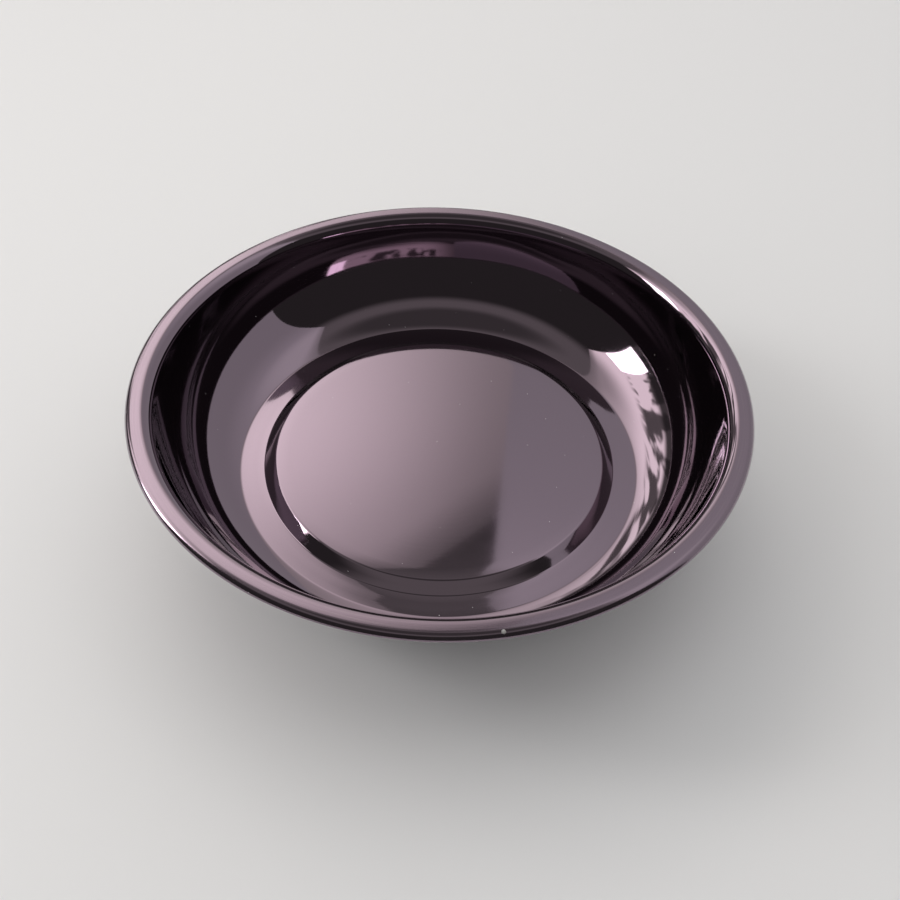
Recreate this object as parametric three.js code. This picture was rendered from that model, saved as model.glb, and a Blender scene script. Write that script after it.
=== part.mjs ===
import * as THREE from "three";

// A shallow round dish pressed from mirror-finished metal sheet, on a rubber base that holds a ring magnet.
// Sizes are in millimetres. +Z is up and the origin is the centre of the foot's flat underside.
// Every piece is turned about the Z axis, so each one is drawn as a half section: x outwards, y up.

const degrees = Math.PI / 180;

// Overall sizes
const rimRadius = 75; // outer edge of the rim
const bowlDepth = 27.5; // top of the rim down to the flat floor ring
const baseHeight = 10; // table up to the bowl's underside

// Pressed sheet of the bowl
const sheet = 0.5;
const wallReach = 24; // from the floor ring's outer edge out to the rim's
const heelRadius = 3; // bend from the floor ring into the wall
const heelAngle = 14 * degrees;
const wallAngle = 80 * degrees; // steepness of the wall just under the rim
const heelHandle = 0.37; // how long the wall keeps its low slope
const rimHandle = 0.9; // how long it keeps its steep slope

// Rim: a round corner out of the wall, a narrow flange that is nearly level, and an edge rolled down
const cornerRadius = 3;
const flangeWidth = 1.7;
const flangeRise = 4 * degrees; // the flange climbs a little towards its outside
const rollRadius = 1.6;
const rollEnd = 80 * degrees;

// Raised disc in the middle of the floor
const ringWidth = 5.4; // flat of the floor ring, between the step and the wall
const stepRise = 2;
const stepAngle = 33 * degrees;
const stepTopRadius = 1.125;
const stepFootRadius = 0.75;

// Parts under the raised disc
const baseFloor = 2; // rubber under the magnet
const plateThickness = 1.25;
const padThickness = 1;
const padMargin = 1; // the pad's edges stay this far inside the magnet's
const magnetBand = 19; // the ring magnet's outer radius less its inner one
const clearance = 0.3;

// Rubber base
const pocketWall = 6.35; // rubber round the magnet, up in the bowl's recess
const baseInset = 2; // the base's top stays this far inside the floor ring's edge
const baseTaper = 2; // the foot is narrower than the top by this much
const footEdge = 1.5;
const grooveCount = 3;
const grooveWidth = 2;
const grooveDepth = 0.75;
const groovePitch = 7;

const turns = 64; // facets round the axis

// Levels that the sizes above lead to
const floorLevel = baseHeight + sheet;
const rimHeight = floorLevel + bowlDepth;
const recessRoof = baseHeight + stepRise;
const padUnderside = recessRoof - padThickness;
const plateTop = baseFloor + plateThickness;

// Radii, from the rim inwards
const floorRadius = rimRadius - wallReach;
const stepFoot = floorRadius - ringWidth;
const discFlat = stepFoot - stepWidth();
const shoulder = discFlat - clearance;
const pocket = shoulder - pocketWall;
const magnetRadius = pocket - clearance;
const magnetHole = magnetRadius - magnetBand;
const boss = magnetHole - clearance;
const baseTopRadius = floorRadius - baseInset;
const footRadius = baseTopRadius - baseTaper;

// A pen that draws a section line: each point keeps the heading there, so the line can be offset.
function startLine(x, y) {
  return [{ x, y, heading: 0 }];
}

function goTo(line, x) {
  const last = line[line.length - 1];
  const y = last.y + (x - last.x) * Math.tan(last.heading);
  line.push({ x, y, heading: last.heading });
}

// Turn to a new heading on an arc; a growing heading bends upwards, a falling one downwards.
function bendTo(line, radius, heading, steps) {
  const start = line[line.length - 1];
  const side = Math.sign(heading - start.heading) * radius;
  for (let i = 1; i <= steps; i += 1) {
    const angle = start.heading + ((heading - start.heading) * i) / steps;
    line.push({
      x: start.x + side * (Math.sin(angle) - Math.sin(start.heading)),
      y: start.y + side * (Math.cos(start.heading) - Math.cos(angle)),
      heading: angle,
    });
  }
}

// A smooth curve that leaves along the line's heading and arrives at end along end.heading.
function sweepTo(line, end, steps) {
  const start = line[line.length - 1];
  const turn = end.heading - start.heading;
  const dx = end.x - start.x;
  const dy = end.y - start.y;
  const reach = (dx * Math.sin(end.heading) - dy * Math.cos(end.heading)) / Math.sin(turn);
  const corner = new THREE.Vector2(
    start.x + reach * Math.cos(start.heading),
    start.y + reach * Math.sin(start.heading),
  );
  const from = new THREE.Vector2(start.x, start.y);
  const to = new THREE.Vector2(end.x, end.y);
  const curve = new THREE.CubicBezierCurve(
    from,
    from.clone().lerp(corner, heelHandle),
    to.clone().lerp(corner, rimHandle),
    to,
  );
  for (let i = 1; i <= steps; i += 1) {
    const point = curve.getPoint(i / steps);
    const tangent = curve.getTangent(i / steps);
    line.push({ x: point.x, y: point.y, heading: Math.atan2(tangent.y, tangent.x) });
  }
}

// Where the wall ends and the rim's corner begins, worked back from the rim's outer edge.
function wallEnd() {
  const rollX = rimRadius - rollRadius * (Math.sin(rollEnd) + Math.sin(flangeRise));
  const rollY = rimHeight - rollRadius * (1 - Math.cos(flangeRise));
  const flangeX = rollX - flangeWidth * Math.cos(flangeRise);
  const flangeY = rollY - flangeWidth * Math.sin(flangeRise);
  return {
    x: flangeX - cornerRadius * (Math.sin(wallAngle) - Math.sin(flangeRise)),
    y: flangeY - cornerRadius * (Math.cos(flangeRise) - Math.cos(wallAngle)),
    heading: wallAngle,
  };
}

// Width of the step from the end of the raised disc's flat to the start of the floor ring's.
function stepWidth() {
  const bends = stepTopRadius + stepFootRadius;
  const slopeRise = stepRise - bends * (1 - Math.cos(stepAngle));
  return bends * Math.sin(stepAngle) + slopeRise / Math.tan(stepAngle);
}

// The bowl's upper surface, from the middle of the raised disc to the rim's outer edge.
function bowlLine() {
  const line = startLine(0, floorLevel + stepRise);
  goTo(line, discFlat);
  bendTo(line, stepTopRadius, -stepAngle, 3);
  goTo(line, stepFoot - stepFootRadius * Math.sin(stepAngle));
  bendTo(line, stepFootRadius, 0, 3);
  goTo(line, floorRadius);
  bendTo(line, heelRadius, heelAngle, 2);
  sweepTo(line, wallEnd(), 8);
  bendTo(line, cornerRadius, flangeRise, 4);
  goTo(line, line[line.length - 1].x + flangeWidth * Math.cos(flangeRise));
  bendTo(line, rollRadius, 0, 1);
  bendTo(line, rollRadius, -rollEnd, 3);
  return line;
}

function bowlShell() {
  const line = bowlLine();
  const upper = line.map((p) => new THREE.Vector2(p.x, p.y));
  const lower = line.map((p) => {
    return new THREE.Vector2(p.x + sheet * Math.sin(p.heading), p.y - sheet * Math.cos(p.heading));
  });
  return turned([...lower, ...upper.reverse()]);
}

// A flat ring with a square section.
function ring(inner, outer, bottom, top) {
  return turned([
    new THREE.Vector2(inner, bottom),
    new THREE.Vector2(outer, bottom),
    new THREE.Vector2(outer, top),
    new THREE.Vector2(inner, top),
    new THREE.Vector2(inner, bottom),
  ]);
}

// The base's underside from the axis outwards, with the grip grooves between flat lands.
function footOutline() {
  const points = [new THREE.Vector2(0, 0)];
  const lastGroove = footRadius - groovePitch;
  for (let i = grooveCount - 1; i >= 0; i -= 1) {
    const inner = lastGroove - i * groovePitch - grooveWidth / 2;
    const outer = inner + grooveWidth;
    points.push(new THREE.Vector2(inner, 0), new THREE.Vector2(inner, grooveDepth));
    points.push(new THREE.Vector2(outer, grooveDepth), new THREE.Vector2(outer, 0));
  }
  for (let i = 0; i <= 3; i += 1) {
    const angle = (i / 3) * 90 * degrees;
    const x = footRadius - footEdge + footEdge * Math.sin(angle);
    points.push(new THREE.Vector2(x, footEdge * (1 - Math.cos(angle))));
  }
  return points;
}

// A cup that holds the plate and the magnet, with a boss through the magnet's hole,
// a shoulder that sits up in the bowl's recess, and a flat land bonded under the floor ring.
function rubberBase() {
  const shoulderTop = recessRoof - clearance;
  const bossTop = padUnderside - clearance;
  return turned([
    ...footOutline(),
    new THREE.Vector2(baseTopRadius, baseHeight),
    new THREE.Vector2(shoulder, baseHeight),
    new THREE.Vector2(shoulder, shoulderTop),
    new THREE.Vector2(pocket, shoulderTop),
    new THREE.Vector2(pocket, baseFloor),
    new THREE.Vector2(boss, baseFloor),
    new THREE.Vector2(boss, bossTop),
    new THREE.Vector2(0, bossTop),
  ]);
}

// A section line, given anticlockwise, turned once round the Z axis.
function turned(points) {
  const geometry = new THREE.LatheGeometry(points, turns);
  geometry.rotateX(Math.PI / 2);
  return geometry;
}

function piece(name, geometry, color, roughness, metalness) {
  const material = new THREE.MeshStandardMaterial({ color, roughness, metalness });
  const mesh = new THREE.Mesh(geometry, material);
  mesh.name = name;
  return mesh;
}

const group = new THREE.Group();
group.add(piece("bowl_shell", bowlShell(), 0x8c7a8a, 0.08, 1));
group.add(piece("adhesive_pad", ring(magnetHole + padMargin, magnetRadius - padMargin,
  padUnderside, recessRoof), 0x2b2b2d, 0.9, 0));
group.add(piece("ring_magnet", ring(magnetHole, magnetRadius, plateTop, padUnderside), 0x3a3a3c, 0.6, 0.2));
group.add(piece("backing_plate", ring(magnetHole, magnetRadius, baseFloor, plateTop), 0xb5b7ba, 0.35, 1));
group.add(piece("rubber_base", rubberBase(), 0x161617, 0.8, 0));

export default group;
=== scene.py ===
"""Looks for a shallow mirror-finished metal bowl on a magnetic rubber base.

Metres throughout, +Z up, the origin under the middle of the foot.
"""
import math

import bmesh
import bpy
from mathutils import Matrix, Vector, noise


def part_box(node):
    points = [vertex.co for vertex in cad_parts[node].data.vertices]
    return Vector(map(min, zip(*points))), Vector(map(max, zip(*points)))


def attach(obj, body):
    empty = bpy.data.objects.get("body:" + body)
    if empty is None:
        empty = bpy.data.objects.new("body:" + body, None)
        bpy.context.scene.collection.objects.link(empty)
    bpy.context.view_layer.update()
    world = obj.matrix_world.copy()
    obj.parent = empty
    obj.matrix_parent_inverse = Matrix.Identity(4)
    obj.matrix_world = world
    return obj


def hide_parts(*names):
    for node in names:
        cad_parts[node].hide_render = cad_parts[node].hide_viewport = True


MM = 0.001
DEG = math.radians(1)

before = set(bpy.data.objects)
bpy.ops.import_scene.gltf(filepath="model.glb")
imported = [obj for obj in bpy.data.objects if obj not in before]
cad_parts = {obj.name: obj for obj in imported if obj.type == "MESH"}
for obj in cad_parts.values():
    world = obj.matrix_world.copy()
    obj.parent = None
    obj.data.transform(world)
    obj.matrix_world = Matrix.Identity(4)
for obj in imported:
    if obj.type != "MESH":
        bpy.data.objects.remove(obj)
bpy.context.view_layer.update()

# ---------------------------------------------------------------- sizes from the frame
shell_lo, shell_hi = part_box("bowl_shell")
base_lo, base_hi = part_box("rubber_base")
magnet_lo, magnet_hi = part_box("ring_magnet")
plate_lo, plate_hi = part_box("backing_plate")
pad_lo, pad_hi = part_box("adhesive_pad")

RIM_RADIUS = shell_hi.x
RIM_HEIGHT = shell_hi.z
BASE_HEIGHT = shell_lo.z
RECESS_ROOF = pad_hi.z
BASE_TOP_RADIUS = base_hi.x
MAGNET_RADIUS = magnet_hi.x

# ---------------------------------------------------------------- sizes of the pressed sheet
SHEET = 0.5 * MM
WALL_REACH = 24 * MM
HEEL_RADIUS = 3 * MM
HEEL_ANGLE = 14 * DEG
WALL_ANGLE = 80 * DEG
HEEL_HANDLE = 0.37  # how long the wall keeps its low slope
RIM_HANDLE = 0.9  # how long it keeps its steep slope
CORNER_RADIUS = 3 * MM
FLANGE_WIDTH = 1.7 * MM
FLANGE_RISE = 4 * DEG
ROLL_RADIUS = 1.6 * MM
ROLL_END = 80 * DEG
RING_WIDTH = 5.4 * MM
STEP_ANGLE = 33 * DEG
STEP_TOP_RADIUS = 1.125 * MM
STEP_FOOT_RADIUS = 0.75 * MM

# ---------------------------------------------------------------- sizes of the magnet and the base
MAGNET_BAND = 19 * MM
CLEARANCE = 0.3 * MM
POCKET_WALL = 6.35 * MM
BASE_TAPER = 2 * MM
FOOT_EDGE = 1.5 * MM
GROOVE_COUNT = 3
GROOVE_WIDTH = 2 * MM
GROOVE_DEPTH = 0.75 * MM
GROOVE_PITCH = 7 * MM

# ---------------------------------------------------------------- radii and heights that follow
FLOOR_RADIUS = RIM_RADIUS - WALL_REACH
FLOOR_LEVEL = BASE_HEIGHT + SHEET
STEP_RISE = RECESS_ROOF - BASE_HEIGHT
STEP_FOOT = FLOOR_RADIUS - RING_WIDTH


# ---------------------------------------------------------------- section lines
class Pen:
    """Draws a half section as points (x, z, heading), so that it can be offset by a sheet's thickness."""

    def __init__(self, x, z):
        self.points = [(x, z, 0.0)]

    def go_to(self, x, steps):
        """Straight on, as far as x."""
        x0, z0, heading = self.points[-1]
        for i in range(1, steps + 1):
            dx = (x - x0) * i / steps
            self.points.append((x0 + dx, z0 + dx * math.tan(heading), heading))

    def bend_to(self, radius, heading, steps):
        """An arc that ends on the new heading."""
        x0, z0, start = self.points[-1]
        side = math.copysign(radius, heading - start)
        for i in range(1, steps + 1):
            a = start + (heading - start) * i / steps
            x = x0 + side * (math.sin(a) - math.sin(start))
            z = z0 + side * (math.cos(start) - math.cos(a))
            self.points.append((x, z, a))

    def sweep_to(self, end_x, end_z, end_heading, steps):
        """A cubic curve that leaves along the present heading and arrives along the new one."""
        x0, z0, start = self.points[-1]
        dx, dz = end_x - x0, end_z - z0
        reach = dx * math.sin(end_heading) - dz * math.cos(end_heading)
        reach /= math.sin(end_heading - start)
        first, last = Vector((x0, z0)), Vector((end_x, end_z))
        corner = first + reach * Vector((math.cos(start), math.sin(start)))
        near_first = first.lerp(corner, HEEL_HANDLE)
        near_last = last.lerp(corner, RIM_HANDLE)
        for i in range(1, steps + 1):
            t = i / steps
            s = 1 - t
            point = s**3 * first + 3 * s * s * t * near_first + 3 * s * t * t * near_last + t**3 * last
            along = s * s * (near_first - first) + 2 * s * t * (near_last - near_first)
            along += t * t * (last - near_last)
            self.points.append((point.x, point.y, math.atan2(along.y, along.x)))

    def offset(self, distance):
        return [(x + distance * math.sin(a), z - distance * math.cos(a)) for x, z, a in self.points]


def step_width():
    bends = STEP_TOP_RADIUS + STEP_FOOT_RADIUS
    slope_rise = STEP_RISE - bends * (1 - math.cos(STEP_ANGLE))
    return bends * math.sin(STEP_ANGLE) + slope_rise / math.tan(STEP_ANGLE)


DISC_FLAT = STEP_FOOT - step_width()


def wall_end():
    """Where the wall ends and the rim's corner begins."""
    roll_x = RIM_RADIUS - ROLL_RADIUS * (math.sin(ROLL_END) + math.sin(FLANGE_RISE))
    roll_z = RIM_HEIGHT - ROLL_RADIUS * (1 - math.cos(FLANGE_RISE))
    flange_x = roll_x - FLANGE_WIDTH * math.cos(FLANGE_RISE)
    flange_z = roll_z - FLANGE_WIDTH * math.sin(FLANGE_RISE)
    x = flange_x - CORNER_RADIUS * (math.sin(WALL_ANGLE) - math.sin(FLANGE_RISE))
    z = flange_z - CORNER_RADIUS * (math.cos(FLANGE_RISE) - math.cos(WALL_ANGLE))
    return x, z


def bowl_pen():
    """The bowl's upper surface, from the middle of the raised disc to the start of the rim's cut edge."""
    pen = Pen(0.0, FLOOR_LEVEL + STEP_RISE)
    pen.go_to(DISC_FLAT, 14)
    pen.bend_to(STEP_TOP_RADIUS, -STEP_ANGLE, 6)
    pen.go_to(STEP_FOOT - STEP_FOOT_RADIUS * math.sin(STEP_ANGLE), 2)
    pen.bend_to(STEP_FOOT_RADIUS, 0.0, 5)
    pen.go_to(FLOOR_RADIUS, 3)
    pen.bend_to(HEEL_RADIUS, HEEL_ANGLE, 4)
    pen.sweep_to(*wall_end(), WALL_ANGLE, 36)
    pen.bend_to(CORNER_RADIUS, FLANGE_RISE, 10)
    pen.go_to(pen.points[-1][0] + FLANGE_WIDTH * math.cos(FLANGE_RISE), 3)
    pen.bend_to(ROLL_RADIUS, SHEET / 2 / ROLL_RADIUS - ROLL_END, 9)
    return pen


# ---------------------------------------------------------------- mesh making
TURNS = 384
RING_TURNS = 192
ON_AXIS = 1e-9


def turned(name, outline, closed=False, turns=TURNS):
    """A solid turned about the Z axis from an outline of (x, z); points on the axis become one vertex."""
    bm = bmesh.new()
    rings = []
    for x, z in outline:
        if x < ON_AXIS:
            rings.append([bm.verts.new((0.0, 0.0, z))])
            continue
        circle = []
        for k in range(turns):
            angle = 2 * math.pi * k / turns
            circle.append(bm.verts.new((x * math.cos(angle), x * math.sin(angle), z)))
        rings.append(circle)
    pairs = list(zip(rings, rings[1:]))
    if closed:
        pairs.append((rings[-1], rings[0]))
    for inner, outer in pairs:
        for k in range(turns):
            n = (k + 1) % turns
            if len(inner) == 1:
                bm.faces.new((inner[0], outer[k], outer[n]))
            elif len(outer) == 1:
                bm.faces.new((inner[k], outer[0], inner[n]))
            else:
                bm.faces.new((inner[k], outer[k], outer[n], inner[n]))
    bmesh.ops.recalc_face_normals(bm, faces=bm.faces)
    mesh = bpy.data.meshes.new(name)
    bm.to_mesh(mesh)
    bm.free()
    mesh.shade_smooth()
    piece = bpy.data.objects.new(name, mesh)
    bpy.context.collection.objects.link(piece)
    return piece


def rounded(corners, steps=5):
    """An outline from (x, z, radius) corners, each one rounded by an arc of its radius."""
    outline = []
    count = len(corners)
    for i, (x, z, radius) in enumerate(corners):
        here = Vector((x, z))
        if radius == 0:
            outline.append((x, z))
            continue
        before = (Vector(corners[i - 1][:2]) - here).normalized()
        after = (Vector(corners[(i + 1) % count][:2]) - here).normalized()
        half = before.angle(after) / 2
        centre = here + (before + after).normalized() * radius / math.sin(half)
        first = here + before * radius / math.tan(half) - centre
        last = here + after * radius / math.tan(half) - centre
        swing = first.angle_signed(last)
        for k in range(steps + 1):
            a = -swing * k / steps
            outline.append((
                centre.x + first.x * math.cos(a) - first.y * math.sin(a),
                centre.y + first.x * math.sin(a) + first.y * math.cos(a),
            ))
    return outline


# ---------------------------------------------------------------- node trees
class Tree:
    """Short calls for the nodes of a material, a light or the world."""

    def __init__(self, node_tree):
        self.nodes, self.links = node_tree.nodes, node_tree.links

    def put(self, target, value):
        if isinstance(value, bpy.types.NodeSocket):
            self.links.new(value, target)
        else:
            target.default_value = value

    def math(self, operation, a, b=0.0, clamp=False):
        node = self.nodes.new("ShaderNodeMath")
        node.operation = operation
        node.use_clamp = clamp
        self.put(node.inputs[0], a)
        self.put(node.inputs[1], b)
        return node.outputs[0]

    def ramp(self, value, low, high, at_low=0.0, at_high=1.0, kind="LINEAR"):
        node = self.nodes.new("ShaderNodeMapRange")
        node.interpolation_type = kind
        self.put(node.inputs["Value"], value)
        ends = (("From Min", low), ("From Max", high), ("To Min", at_low), ("To Max", at_high))
        for socket, number in ends:
            node.inputs[socket].default_value = number
        return node.outputs["Result"]

    def smooth(self, value, low, high, at_low=0.0, at_high=1.0):
        """A ramp with soft ends."""
        return self.ramp(value, low, high, at_low, at_high, "SMOOTHSTEP")


# ---------------------------------------------------------------- materials
STREAKS_PER_METRE = 900.0


class Shader(Tree):
    """A node material with one Principled shader, and short calls for the nodes that feed it."""

    def __init__(self, name, color, roughness, metallic=0.0, **sockets):
        self.material = bpy.data.materials.new(name)
        self.material.use_nodes = True
        super().__init__(self.material.node_tree)
        self.principled = self.nodes["Principled BSDF"]
        self.set("Base Color", (*color, 1.0))
        self.set("Roughness", roughness)
        self.set("Metallic", metallic)
        for socket, value in sockets.items():
            self.set(socket.replace("_", " "), value)
        self.place = self.nodes.new("ShaderNodeTexCoord").outputs["Object"]

    def set(self, socket, value):
        self.principled.inputs[socket].default_value = value

    def feed(self, socket, output):
        self.links.new(output, self.principled.inputs[socket])

    def noise(self, scale, detail=3.0, rough=0.5, vector=None):
        node = self.nodes.new("ShaderNodeTexNoise")
        self.put(node.inputs["Vector"], vector or self.place)
        node.inputs["Scale"].default_value = scale
        node.inputs["Detail"].default_value = detail
        node.inputs["Roughness"].default_value = rough
        return node.outputs["Fac"]

    def specks(self, scale, size):
        """1 inside small round specks about size cells wide, one to a cell, and 0 elsewhere."""
        node = self.nodes.new("ShaderNodeTexVoronoi")
        self.put(node.inputs["Vector"], self.place)
        node.inputs["Scale"].default_value = scale
        return self.ramp(node.outputs["Distance"], size, size * 0.6)

    def mix_color(self, factor, a, b):
        node = self.nodes.new("ShaderNodeMix")
        node.data_type = "RGBA"
        self.put(node.inputs["Factor"], factor)
        for target, color in ((node.inputs["A"], a), (node.inputs["B"], b)):
            self.put(target, color if isinstance(color, bpy.types.NodeSocket) else (*color, 1.0))
        return node.outputs["Result"]

    def bump(self, height, distance, under=None):
        """A normal that stands height times distance above the normal under it."""
        node = self.nodes.new("ShaderNodeBump")
        node.inputs["Strength"].default_value = 1.0
        node.inputs["Distance"].default_value = distance
        self.put(node.inputs["Height"], height)
        if under:
            self.links.new(under, node.inputs["Normal"])
        return node.outputs["Normal"]

    def polar(self):
        """(radius from the Z axis, height, a vector whose noise runs in streaks round the axis)."""
        parts = self.nodes.new("ShaderNodeSeparateXYZ")
        self.links.new(self.place, parts.inputs[0])
        x, y, z = parts.outputs
        square = self.math("ADD", self.math("MULTIPLY", x, x), self.math("MULTIPLY", y, y))
        radius = self.math("SQRT", square)
        safe = self.math("MAXIMUM", radius, 0.001)
        vector = self.nodes.new("ShaderNodeCombineXYZ")
        self.links.new(self.math("DIVIDE", x, safe), vector.inputs[0])
        self.links.new(self.math("DIVIDE", y, safe), vector.inputs[1])
        lines = self.math("MULTIPLY", self.math("ADD", radius, z), STREAKS_PER_METRE)
        self.links.new(lines, vector.inputs[2])
        return radius, z, vector.outputs[0]

    def near_point(self, point, size):
        """1 within size of a point, falling to 0 at a ragged edge."""
        node = self.nodes.new("ShaderNodeVectorMath")
        node.operation = "DISTANCE"
        self.links.new(self.place, node.inputs[0])
        node.inputs[1].default_value = point
        shift = self.ramp(self.noise(2500.0), 0, 1, -size / 3, size / 3)
        ragged = self.math("ADD", node.outputs["Value"], shift)
        return self.ramp(ragged, size, size * 0.8)


PLUM = (0.234, 0.177, 0.221)
PLUM_WORN = (0.265, 0.21, 0.245)
DUST = (0.62, 0.6, 0.6)
PALE_SPOT_COLOR = (0.86, 0.85, 0.84)
# A small pale satin spot on the near side of the rim's roll: where round the rim it sits, how far over the
# roll, and how wide.
PALE_SPOT_ANGLE = -79.5 * DEG
PALE_SPOT_TURN = 22 * DEG
PALE_SPOT_SIZE = 0.5 * MM


def bowl_metal():
    """Mirror-polished sheet under a dark plum coating and a thin clear coat.

    Turned polishing lines are strongest on the lip. There is faint handling haze, a few specks of dust and
    one small pale satin spot drawn on the near side of the rim's roll.
    """
    s = Shader("plum_mirror_metal", PLUM, 0.05, 1.0, Coat_Weight=0.7, Coat_Roughness=0.03)
    radius, _, streak_space = s.polar()
    lip = s.ramp(radius, RIM_RADIUS - 5 * MM, RIM_RADIUS - 3.5 * MM)
    streaks = s.noise(2.2, 4.0, 0.65, streak_space)
    haze = s.noise(38.0, 4.0, 0.6)
    dust = s.specks(240.0, 0.028)
    # The pale spot: a small patch of pale, half-matte metal colour drawn on the rim's roll.
    pale_spot_radius = RIM_RADIUS - ROLL_RADIUS * (math.sin(ROLL_END) - math.sin(PALE_SPOT_TURN))
    pale_spot_at = Vector((pale_spot_radius * math.cos(PALE_SPOT_ANGLE), pale_spot_radius * math.sin(PALE_SPOT_ANGLE), 0))
    pale_spot_at.z = RIM_HEIGHT - ROLL_RADIUS * (1 - math.cos(PALE_SPOT_TURN))
    pale_spot = s.near_point(pale_spot_at, PALE_SPOT_SIZE)
    worn = s.math("MULTIPLY", lip, s.ramp(streaks, 0.55, 0.75))
    color = s.mix_color(worn, PLUM, PLUM_WORN)
    color = s.mix_color(pale_spot, color, PALE_SPOT_COLOR)
    s.feed("Base Color", s.mix_color(dust, color, DUST))
    s.feed("Metallic", s.math("SUBTRACT", 1.0, dust, clamp=True))
    brushed = s.math("MULTIPLY", lip, s.ramp(streaks, 0.3, 0.8, 0.04, 0.16))
    rough = s.math("ADD", s.ramp(haze, 0.35, 0.75, 0.03, 0.075), brushed)
    matte = s.math("MULTIPLY", s.math("MAXIMUM", dust, pale_spot), 0.5)
    s.feed("Roughness", s.math("MAXIMUM", rough, matte))
    line_height = s.math("MULTIPLY", streaks, s.ramp(lip, 0, 1, 0.12, 1.0))
    lines = s.bump(line_height, 0.012 * MM)
    s.feed("Normal", s.bump(s.noise(160.0, 2.0), 0.0025 * MM, lines))
    return s.material


def base_rubber():
    """Moulded matte black rubber: fine grain, a little bloom, and scuffing on the foot's lands."""
    s = Shader("moulded_black_rubber", (0.02, 0.02, 0.021), 0.7, Specular_IOR_Level=0.4)
    bloom = s.noise(90.0, 5.0, 0.6)
    _, height, _ = s.polar()
    scuff = s.math("MULTIPLY", s.ramp(height, 0.3 * MM, 0.0), s.ramp(s.noise(600.0, 4.0, 0.7), 0.5, 0.62))
    color = s.mix_color(s.ramp(bloom, 0.35, 0.7), (0.016, 0.016, 0.017), (0.034, 0.033, 0.033))
    s.feed("Base Color", s.mix_color(scuff, color, (0.07, 0.068, 0.066)))
    s.feed("Roughness", s.ramp(bloom, 0.3, 0.75, 0.58, 0.82))
    grain = s.bump(s.noise(4200.0, 2.0), 0.05 * MM)
    s.feed("Normal", s.bump(s.noise(500.0, 3.0), 0.03 * MM, grain))
    return s.material


def ferrite():
    """Ground sintered ferrite: matte dark grey with grinding lines and tiny pores."""
    s = Shader("ferrite", (0.05, 0.05, 0.052), 0.6)
    _, _, streak_space = s.polar()
    grinding = s.noise(1.6, 3.0, 0.6, streak_space)
    ground = s.ramp(grinding, 0.35, 0.7)
    s.feed("Base Color", s.mix_color(ground, (0.038, 0.038, 0.04), (0.07, 0.07, 0.072)))
    s.feed("Roughness", s.ramp(grinding, 0.3, 0.7, 0.5, 0.75))
    pores = s.bump(s.specks(1100.0, 0.25), -0.04 * MM)
    s.feed("Normal", s.bump(grinding, 0.02 * MM, pores))
    return s.material


def zinc_steel():
    """Pressed steel with a thin zinc plating: cloudy sheen and faint rolling marks."""
    s = Shader("zinc_plated_steel", (0.6, 0.61, 0.62), 0.3, 1.0)
    clouds = s.noise(140.0, 5.0, 0.6)
    s.feed("Base Color", s.mix_color(s.ramp(clouds, 0.3, 0.7), (0.5, 0.52, 0.54), (0.68, 0.68, 0.67)))
    s.feed("Roughness", s.ramp(clouds, 0.3, 0.7, 0.24, 0.42))
    s.feed("Normal", s.bump(s.noise(900.0, 3.0), 0.01 * MM))
    return s.material


def foam_tape():
    """Closed-cell foam tape: soft black with fine cells at its cut edges."""
    s = Shader("foam_tape", (0.03, 0.03, 0.032), 0.85)
    cells = s.specks(2600.0, 0.45)
    s.feed("Base Color", s.mix_color(cells, (0.036, 0.036, 0.038), (0.018, 0.018, 0.019)))
    s.feed("Roughness", s.ramp(s.noise(300.0), 0.3, 0.7, 0.78, 0.92))
    s.feed("Normal", s.bump(cells, -0.06 * MM))
    return s.material


def pale_floor():
    return Shader("pale_floor", (0.76, 0.757, 0.752), 0.55).material


# ---------------------------------------------------------------- pieces
WAVE_HEIGHT = 0.05 * MM
WAVE_BIAS = 0.6  # the share by which the waves are higher on the right and lower on the left
WAVES_ROUND = 3.2
WAVE_LENGTH = 9 * MM
WAVE_FROM = FLOOR_RADIUS + 5 * MM
WAVE_RISE = 4 * MM
WAVE_TO = RIM_RADIUS - 4 * MM
WAVE_FALL = 3 * MM


def press_waves(mesh):
    """The faint unevenness that pressing leaves in a polished wall.

    It makes the wall's reflections run like liquid, most of all on the right.
    """
    for vertex in mesh.vertices:
        radius = vertex.co.xy.length
        if not WAVE_FROM < radius < RIM_RADIUS:
            continue
        rise = min(1.0, (radius - WAVE_FROM) / WAVE_RISE)
        fall = min(1.0, max(0.0, (WAVE_TO - radius) / WAVE_FALL))
        angle = math.atan2(vertex.co.y, vertex.co.x)
        outward = Vector((math.cos(angle), math.sin(angle), 0))
        where = WAVES_ROUND * outward + Vector((0, 0, vertex.co.z / WAVE_LENGTH))
        height = WAVE_HEIGHT * (1 + WAVE_BIAS * outward.x)
        vertex.co += outward * height * noise.noise(where) * rise * fall


EDGE_STEPS = 8


def bowl_shell():
    """The pressed sheet: its upper line, a rounded cut edge, and the same line one thickness below."""
    pen = bowl_pen()
    edge = SHEET / 2
    x, z, heading = pen.points[-1]
    centre_x = x + edge * math.sin(heading)
    centre_z = z - edge * math.cos(heading)
    round_edge = []
    for k in range(1, EDGE_STEPS):
        a = heading + math.pi / 2 - math.pi * k / EDGE_STEPS
        round_edge.append((centre_x + edge * math.cos(a), centre_z + edge * math.sin(a)))
    piece = turned("plum_bowl", pen.offset(0) + round_edge + pen.offset(SHEET)[::-1])
    press_waves(piece.data)
    return piece


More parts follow.
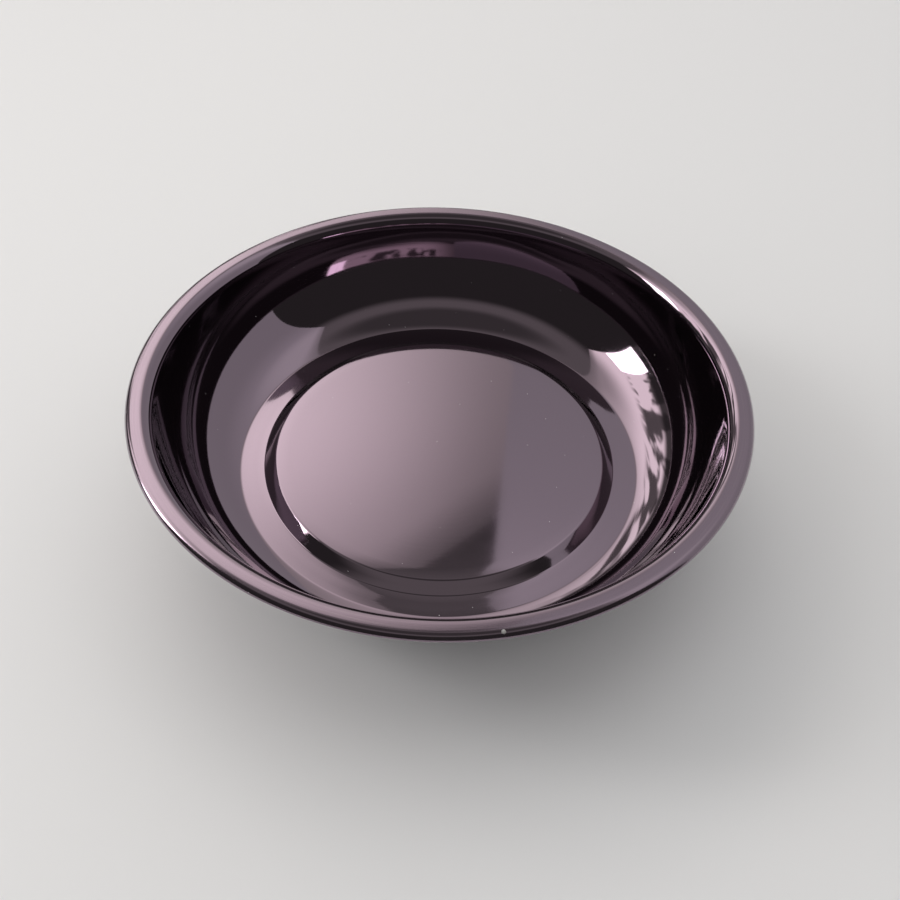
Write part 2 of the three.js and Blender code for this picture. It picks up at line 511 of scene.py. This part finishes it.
def rubber_base():
    """The foot, from its grooved underside out, up over the shoulder and into the magnet's pocket."""
    foot_radius = BASE_TOP_RADIUS - BASE_TAPER
    shoulder = DISC_FLAT - CLEARANCE
    pocket = shoulder - POCKET_WALL
    boss = MAGNET_RADIUS - MAGNET_BAND - CLEARANCE
    pocket_floor = plate_lo.z
    boss_top = pad_lo.z - CLEARANCE
    corners = [(0.0, 0.0, 0)]
    for i in reversed(range(GROOVE_COUNT)):
        inner = foot_radius - GROOVE_PITCH * (i + 1) - GROOVE_WIDTH / 2
        outer = inner + GROOVE_WIDTH
        for x, z in ((inner, 0.0), (inner, GROOVE_DEPTH), (outer, GROOVE_DEPTH), (outer, 0.0)):
            corners.append((x, z, 0.3 * MM))
    corners += [
        (foot_radius, 0.0, FOOT_EDGE),
        (BASE_TOP_RADIUS, BASE_HEIGHT, 0.25 * MM),
        (shoulder, BASE_HEIGHT, 0.25 * MM),
        (shoulder, base_hi.z, 0.8 * MM),
        (pocket, base_hi.z, 0.5 * MM),
        (pocket, pocket_floor, 0.2 * MM),
        (boss, pocket_floor, 0.2 * MM),
        (boss, boss_top, 0.8 * MM),
        (0.0, boss_top, 0),
    ]
    return turned("moulded_base", rounded(corners))


def ring_piece(name, outer, inner, low, high, edge):
    """A flat ring between two radii and two heights, with its four edges rounded."""
    corners = [(inner, low, edge), (outer, low, edge), (outer, high, edge), (inner, high, edge)]
    return turned(name, rounded(corners, 4), closed=True, turns=RING_TURNS)


def add(piece, material, node):
    """Dresses a piece and lets it stand for its CAD node."""
    piece.data.materials.append(material)
    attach(piece, "root")
    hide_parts(node)


add(bowl_shell(), bowl_metal(), "bowl_shell")
add(rubber_base(), base_rubber(), "rubber_base")
magnet_hole = MAGNET_RADIUS - MAGNET_BAND
pad_hole = magnet_hole + MAGNET_RADIUS - pad_hi.x
magnet = ring_piece("ferrite_ring", MAGNET_RADIUS, magnet_hole, magnet_lo.z, magnet_hi.z, 0.5 * MM)
plate = ring_piece("steel_plate", plate_hi.x, magnet_hole, plate_lo.z, plate_hi.z, 0.2 * MM)
pad = ring_piece("tape_ring", pad_hi.x, pad_hole, pad_lo.z, pad_hi.z, 0.12 * MM)
add(magnet, ferrite(), "ring_magnet")
add(plate, zinc_steel(), "backing_plate")
add(pad, foam_tape(), "adhesive_pad")


# ---------------------------------------------------------------- floor, light and camera
FLOOR_SPREAD = 0.95


def floor():
    """A plain disc that ends just inside the walls of light."""
    bm = bmesh.new()
    bmesh.ops.create_circle(bm, cap_ends=True, segments=128, radius=FLOOR_SPREAD)
    mesh = bpy.data.meshes.new("floor")
    bm.to_mesh(mesh)
    bm.free()
    piece = bpy.data.objects.new("floor", mesh)
    bpy.context.collection.objects.link(piece)
    mesh.materials.append(pale_floor())


def fill_light(name, place, size, watts):
    """A large soft light that brightens the floor and the sides, and stays out of the mirror finish."""
    light = bpy.data.lights.new(name, "AREA")
    light.shape = "DISK"
    light.size = size
    light.energy = watts
    lamp = bpy.data.objects.new(name, light)
    bpy.context.collection.objects.link(lamp)
    lamp.location = place
    lamp.rotation_euler = Vector(place).to_track_quat("Z", "Y").to_euler()
    lamp.visible_camera = False
    lamp.visible_glossy = False


class Panel(Tree):
    """An upright soft light facing the bowl, whose brightness may vary across it.

    Azimuth 0 is away from the camera, and it grows to the right. The panel's own across and up run from
    0 to 1, and slope is the tangent of the angle above level at which the bowl sees each point.
    """

    def __init__(self, name, azimuth, distance, low, high, width, color=(1, 1, 1)):
        light = bpy.data.lights.new(name, "AREA")
        light.shape = "RECTANGLE"
        light.size, light.size_y = width, high - low
        light.energy = math.pi * width * (high - low)
        light.color = color
        light.use_nodes = True
        super().__init__(light.node_tree)
        place = self.nodes.new("ShaderNodeNewGeometry").outputs["Parametric"]
        split = self.nodes.new("ShaderNodeSeparateXYZ")
        self.links.new(place, split.inputs[0])
        self.across, self.up = split.outputs[0], split.outputs[1]
        aside = self.math("MULTIPLY", self.math("SUBTRACT", self.across, 0.5), width / distance)
        reach = self.math("SQRT", self.math("ADD", self.math("MULTIPLY", aside, aside), 1.0))
        rise = self.math("ADD", self.math("MULTIPLY", self.up, (high - low) / distance), low / distance)
        self.slope = self.math("DIVIDE", rise, reach)
        lamp = bpy.data.objects.new(name, light)
        bpy.context.collection.objects.link(lamp)
        toward = Vector((math.sin(azimuth), math.cos(azimuth), 0))
        lamp.location = distance * toward + Vector((0, 0, (low + high) / 2))
        lamp.rotation_euler = (-toward).to_track_quat("-Z", "Y").to_euler()
        lamp.visible_camera = False

    def shine(self, radiance):
        self.put(self.nodes["Emission"].inputs["Strength"], radiance)

    def top_fade(self):
        """1 over most of the height, and less along the top edge, where a wall meets the darker ceiling."""
        return self.smooth(self.up, 0.88, 1.0, 1.0, 0.45)

    def folds(self, count):
        """0 to 1 in uneven upright folds, like a drawn curtain's."""
        where = self.nodes.new("ShaderNodeCombineXYZ")
        self.links.new(self.math("MULTIPLY", self.across, count), where.inputs[0])
        self.links.new(self.math("MULTIPLY", self.up, 4.0), where.inputs[1])
        node = self.nodes.new("ShaderNodeTexNoise")
        node.inputs["Scale"].default_value = 1.0
        node.inputs["Detail"].default_value = 2.0
        self.links.new(where.outputs[0], node.inputs["Vector"])
        return node.outputs["Fac"]


WALL_DISTANCE = 1.0
CORNER = 6 * DEG  # azimuth at which the two walls meet
HALF_WALL = 48 * DEG  # half the angle that a wall takes up, seen from the bowl
WALL_WIDTH = 2 * WALL_DISTANCE * math.tan(HALF_WALL)
LEFT_TOP = 1.8
RIGHT_TOP = 2.25
CURTAIN_FOLDS = 13.0


def right_wall():
    """A pale wall to the right, a little brighter towards the top."""
    azimuth, color = CORNER + HALF_WALL, (0.99, 0.975, 1.0)
    wall = Panel("right_wall", azimuth, WALL_DISTANCE, 0.0, RIGHT_TOP, WALL_WIDTH, color)
    wall.shine(wall.math("MULTIPLY", wall.smooth(wall.slope, 0.6, 1.4, 0.48, 0.65), wall.top_fade()))


def left_wall():
    """A bright wall above a curtained window on the left, fading towards the ceiling and the corner."""
    azimuth, color = CORNER - HALF_WALL, (1.0, 0.945, 0.91)
    wall = Panel("left_wall", azimuth, WALL_DISTANCE, 0.0, LEFT_TOP, WALL_WIDTH, color)
    from_corner = wall.smooth(wall.across, -0.02, 0.36, 0.24, 1.0)
    glow = wall.math("MULTIPLY", from_corner, wall.smooth(wall.slope, 0.92, 1.6, 2.4, 0.62))
    curtain = wall.smooth(wall.folds(CURTAIN_FOLDS), 0.47, 0.55, 0.08, 1.0)
    beside = wall.smooth(wall.across, 0.22, 0.12)
    curtain = wall.math("MAXIMUM", curtain, beside)
    lower = wall.math("MULTIPLY", curtain, wall.smooth(wall.up, 0.19, 0.26, 0.04, 1.0))
    above = wall.smooth(wall.up, 0.44, 0.55)
    blend = wall.math("ADD", wall.math("MULTIPLY", above, wall.math("SUBTRACT", 1.0, lower)), lower)
    wall.shine(wall.math("MULTIPLY", wall.math("MULTIPLY", glow, blend), wall.top_fade()))


CEILING_COLOR = (1, 0.98, 0.94, 1)
AMBIENT_COLOR = (1, 1, 1, 1)
AMBIENT = 0.35
BACKDROP_COLOR = (0.72, 0.72, 0.71, 1)


def room():
    """A ceiling for the reflections, an even light for matte surfaces, and a pale backdrop."""
    world = bpy.data.worlds.new("studio")
    bpy.context.scene.world = world
    world.use_nodes = True
    tree = Tree(world.node_tree)
    toward = tree.nodes.new("ShaderNodeSeparateXYZ")
    tree.links.new(tree.nodes.new("ShaderNodeTexCoord").outputs["Generated"], toward.inputs[0])
    height = toward.outputs[2]
    brighter_above_walls = tree.smooth(height, 0.74, 0.86, 0.055, 0.28)
    dimmer_overhead = tree.smooth(height, 0.9, 0.97, 1.0, 0.4)
    ceiling = tree.nodes["Background"]
    ceiling.inputs["Color"].default_value = CEILING_COLOR
    tree.put(ceiling.inputs["Strength"], tree.math("MULTIPLY", brighter_above_walls, dimmer_overhead))
    surface = ceiling.outputs[0]
    path = tree.nodes.new("ShaderNodeLightPath")
    for ray, color, strength in (
        ("Is Diffuse Ray", AMBIENT_COLOR, AMBIENT),
        ("Is Camera Ray", BACKDROP_COLOR, 1.0),
    ):
        background = tree.nodes.new("ShaderNodeBackground")
        background.inputs["Color"].default_value = color
        background.inputs["Strength"].default_value = strength
        mix = tree.nodes.new("ShaderNodeMixShader")
        tree.links.new(path.outputs[ray], mix.inputs[0])
        tree.links.new(surface, mix.inputs[1])
        tree.links.new(background.outputs[0], mix.inputs[2])
        surface = mix.outputs[0]
    tree.links.new(surface, tree.nodes["World Output"].inputs["Surface"])


def lights():
    right_wall()
    left_wall()
    window = Panel("window", azimuth=-83 * DEG, distance=1.2, low=0.33, high=1.0, width=0.27)
    window.shine(8.0)
    fill_light("overhead", place=(0.0, 0.5, 2.3), size=2.2, watts=7.5)
    fill_light("side", place=(-1.5, -0.6, 0.6), size=1.6, watts=7.0)
    room()


CAMERA_DISTANCE = 3.242 * RIM_RADIUS
CAMERA_ELEVATION = 41.85 * DEG
CAMERA_YAW = 0.85 * DEG
CAMERA_PITCH = 46.08 * DEG
CAMERA_ROLL = 2.54 * DEG
LENS = 39.98
SENSOR_WIDTH = 36.0


def camera():
    """Looks down across the rim, with the rim's middle a little left of and above the picture's."""
    data = bpy.data.cameras.new("camera")
    data.sensor_width = SENSOR_WIDTH
    data.lens = LENS
    data.clip_start = 0.01
    eye = bpy.data.objects.new("camera", data)
    bpy.context.collection.objects.link(eye)
    ahead = Vector((
        math.sin(CAMERA_YAW) * math.cos(CAMERA_PITCH),
        math.cos(CAMERA_YAW) * math.cos(CAMERA_PITCH),
        -math.sin(CAMERA_PITCH),
    ))
    level = Vector((math.cos(CAMERA_YAW), -math.sin(CAMERA_YAW), 0))
    roll = Matrix.Rotation(-CAMERA_ROLL, 3, ahead)
    right = roll @ level
    up = right.cross(ahead)
    eye.matrix_world = Matrix((right, up, -ahead)).transposed().to_4x4()
    eye.location = (
        0,
        -CAMERA_DISTANCE * math.cos(CAMERA_ELEVATION),
        RIM_HEIGHT + CAMERA_DISTANCE * math.sin(CAMERA_ELEVATION),
    )
    bpy.context.scene.camera = eye


floor()
lights()
camera()
# Plain colour, so that the pale floor and the dark plum keep their contrast.
bpy.context.scene.view_settings.view_transform = "Standard"
